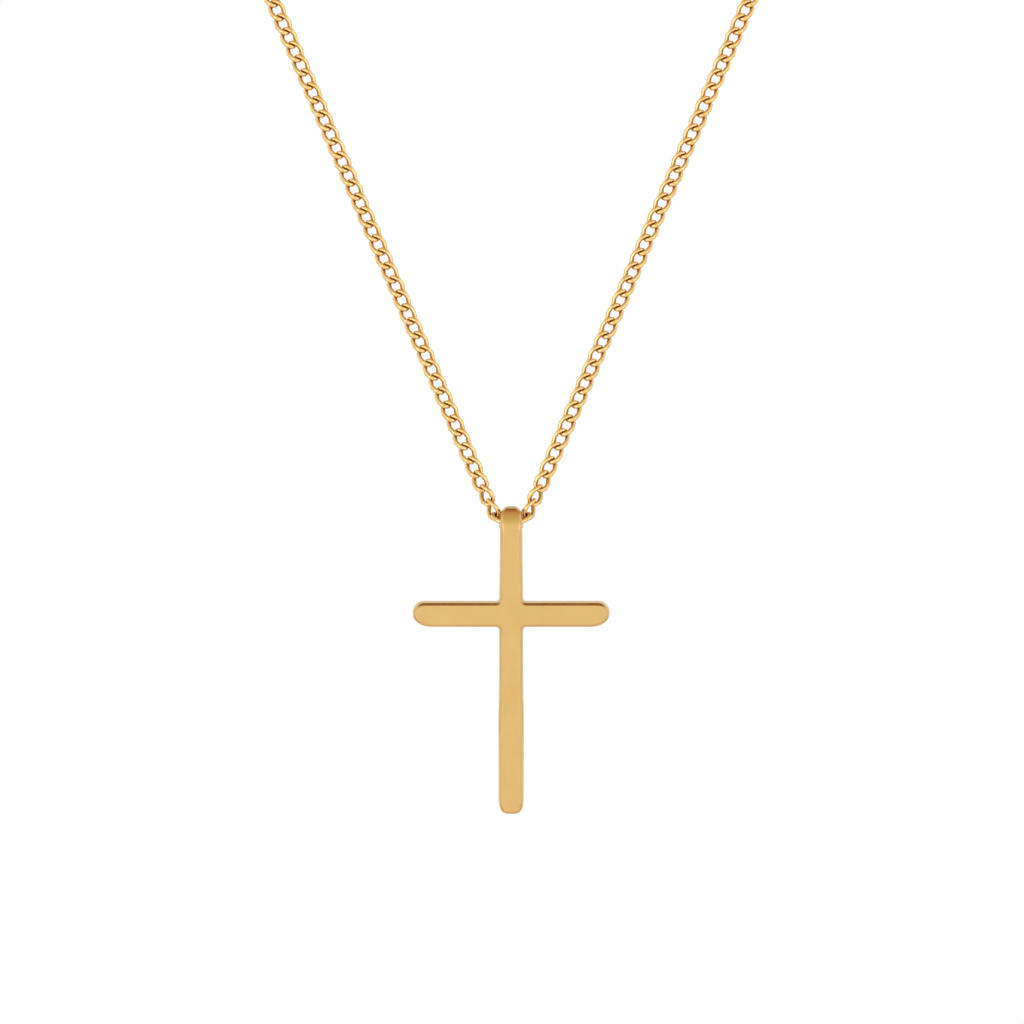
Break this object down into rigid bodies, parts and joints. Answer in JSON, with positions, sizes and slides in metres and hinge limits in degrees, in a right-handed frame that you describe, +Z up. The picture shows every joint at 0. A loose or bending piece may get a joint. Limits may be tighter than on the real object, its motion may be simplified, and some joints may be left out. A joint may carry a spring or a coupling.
{
  "type": "cross pendant on a curb chain",
  "caption": "Slim flat metal cross with a rolled-over bail, hanging on a fine twisted curb chain that closes with a clasp at the nape.",
  "frame": {"origin": "on the nape of the neck, at the middle of the clasp", "axes": "+Z up, -Y towards the front, where the cross hangs, +X to the right in the picture"},
  "size_m": [0.0992, 0.1015, 0.1599],
  "materials": {
    "satin_gold": "satin pale gold plating, finely blasted",
    "polished_gold": "polished yellow gold plating"
  },
  "bodies": {
    "necklace": {"chain_front": "polished_gold", "chain_back": "polished_gold", "clasp": "polished_gold", "end_ring_left": "polished_gold", "end_ring_right": "polished_gold"},
    "pendant": {"cross": "satin_gold"}
  },
  "joints": [
    {"name": "pendant_swing", "type": "hinge", "parent": "necklace", "child": "pendant", "pos_m": [0, -0.098, -0.1296], "axis": [1, 0, 0], "range_deg": [-165, 155]}
  ]
}
